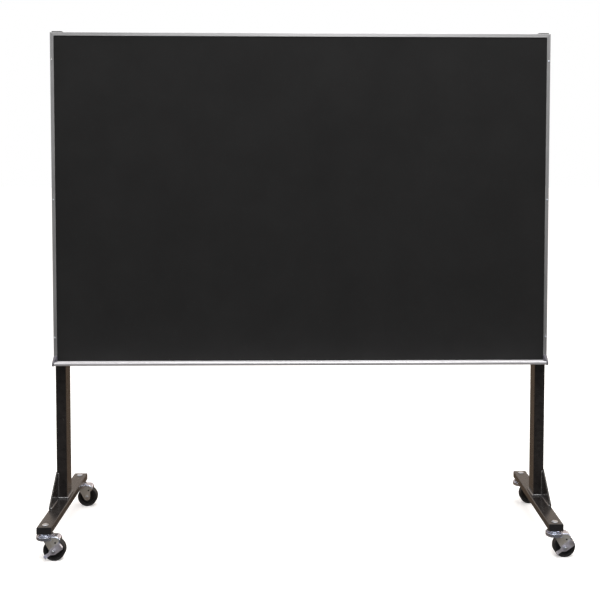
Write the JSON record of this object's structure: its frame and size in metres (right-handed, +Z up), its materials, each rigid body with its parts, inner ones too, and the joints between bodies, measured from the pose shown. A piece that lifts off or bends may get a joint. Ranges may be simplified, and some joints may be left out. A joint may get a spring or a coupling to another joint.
{
  "type": "mobile tack board",
  "caption": "Free-standing black tack board in a thin aluminium frame with a pin tray, on black steel T-legs with gussets and swivel casters, the front ones with side-lock levers",
  "frame": {"origin": "On the floor, below the centre of the part's bounds; the board's own middle lies 19 mm towards -X of it, because all four casters trail towards +X", "axes": "+Z up, +X along the board to the viewer's right, -Y out of the board's front face"},
  "size_m": [1.8795, 0.624, 1.8575],
  "materials": {
    "face_cloth": "flat black woven tack surface, very matte",
    "cork": "granulated cork, hidden",
    "fibreboard": "dark hardboard back",
    "frame_aluminium": "satin clear anodised",
    "tray_aluminium": "satin clear anodised",
    "cap_plastic": "grey moulded plastic",
    "zinc": "bright zinc plated",
    "black_steel": "semi-gloss black powder coat",
    "black_plastic": "black moulded plastic",
    "chrome": "bright plated steel",
    "wheel_plastic": "black moulded wheel centre",
    "tyre": "black rubber"
  },
  "bodies": {
    "stand": {"face_sheet": "face_cloth", "cork_sheet": "cork", "core_board": "fibreboard", "rail_top": "frame_aluminium", "rail_bottom": "frame_aluminium", "rail_left": "frame_aluminium", "rail_right": "frame_aluminium", "tray": "tray_aluminium", "tray_cap_left": "cap_plastic", "tray_cap_right": "cap_plastic", "tray_screw_left": "zinc", "tray_screw_right": "zinc", "corner_key_bottom_left": "zinc", "corner_key_bottom_right": "zinc", "corner_key_top_left": "zinc", "corner_key_top_right": "zinc", "board_screw_left_low": "zinc", "board_screw_left_middle": "zinc", "board_screw_left_high": "zinc", "post_left": "black_steel", "post_cap_left": "black_plastic", "foot_left": "black_steel", "gusset_left": "black_steel", "board_screw_right_low": "zinc", "board_screw_right_middle": "zinc", "board_screw_right_high": "zinc", "post_right": "black_steel", "post_cap_right": "black_plastic", "foot_right": "black_steel", "gusset_right": "black_steel", "foot_cap_front_left": "black_plastic", "stem_bolt_front_left": "zinc", "race_front_left": "chrome", "foot_cap_front_right": "black_plastic", "stem_bolt_front_right": "zinc", "race_front_right": "chrome", "foot_cap_rear_left": "black_plastic", "stem_bolt_rear_left": "zinc", "race_rear_left": "chrome", "foot_cap_rear_right": "black_plastic", "stem_bolt_rear_right": "zinc", "race_rear_right": "chrome"},
    "caster_front_left": {"fork_front_left": "chrome", "axle_bolt_front_left": "zinc"},
    "wheel_front_left": {"hub_front_left": "wheel_plastic", "tyre_front_left": "tyre"},
    "lever_front_left": {"brake_lever_front_left": "chrome"},
    "caster_front_right": {"fork_front_right": "chrome", "axle_bolt_front_right": "zinc"},
    "wheel_front_right": {"hub_front_right": "wheel_plastic", "tyre_front_right": "tyre"},
    "lever_front_right": {"brake_lever_front_right": "chrome"},
    "caster_rear_left": {"fork_rear_left": "chrome", "axle_bolt_rear_left": "zinc"},
    "wheel_rear_left": {"hub_rear_left": "wheel_plastic", "tyre_rear_left": "tyre"},
    "caster_rear_right": {"fork_rear_right": "chrome", "axle_bolt_rear_right": "zinc"},
    "wheel_rear_right": {"hub_rear_right": "wheel_plastic", "tyre_rear_right": "tyre"}
  },
  "joints": [
    {"name": "swivel_front_left", "type": "hinge", "parent": "stand", "child": "caster_front_left", "pos_m": [-0.90825, -0.2794, 0.085], "axis": [0, 0, 1], "continuous": true},
    {"name": "roll_front_left", "type": "hinge", "parent": "caster_front_left", "child": "wheel_front_left", "pos_m": [-0.87625, -0.2794, 0.038], "axis": [0, 1, 0], "continuous": true},
    {"name": "brake_front_left", "type": "hinge", "parent": "caster_front_left", "child": "lever_front_left", "pos_m": [-0.87625, -0.2794, 0.038], "axis": [0, 1, 0], "range_deg": [0, 30]},
    {"name": "swivel_front_right", "type": "hinge", "parent": "stand", "child": "caster_front_right", "pos_m": [0.86975, -0.2794, 0.085], "axis": [0, 0, 1], "continuous": true},
    {"name": "roll_front_right", "type": "hinge", "parent": "caster_front_right", "child": "wheel_front_right", "pos_m": [0.90175, -0.2794, 0.038], "axis": [0, 1, 0], "continuous": true},
    {"name": "brake_front_right", "type": "hinge", "parent": "caster_front_right", "child": "lever_front_right", "pos_m": [0.90175, -0.2794, 0.038], "axis": [0, 1, 0], "range_deg": [0, 30]},
    {"name": "swivel_rear_left", "type": "hinge", "parent": "stand", "child": "caster_rear_left", "pos_m": [-0.90825, 0.2794, 0.085], "axis": [0, 0, 1], "continuous": true},
    {"name": "roll_rear_left", "type": "hinge", "parent": "caster_rear_left", "child": "wheel_rear_left", "pos_m": [-0.87625, 0.2794, 0.038], "axis": [0, 1, 0], "continuous": true},
    {"name": "swivel_rear_right", "type": "hinge", "parent": "stand", "child": "caster_rear_right", "pos_m": [0.86975, 0.2794, 0.085], "axis": [0, 0, 1], "continuous": true},
    {"name": "roll_rear_right", "type": "hinge", "parent": "caster_rear_right", "child": "wheel_rear_right", "pos_m": [0.90175, 0.2794, 0.038], "axis": [0, 1, 0], "continuous": true}
  ]
}
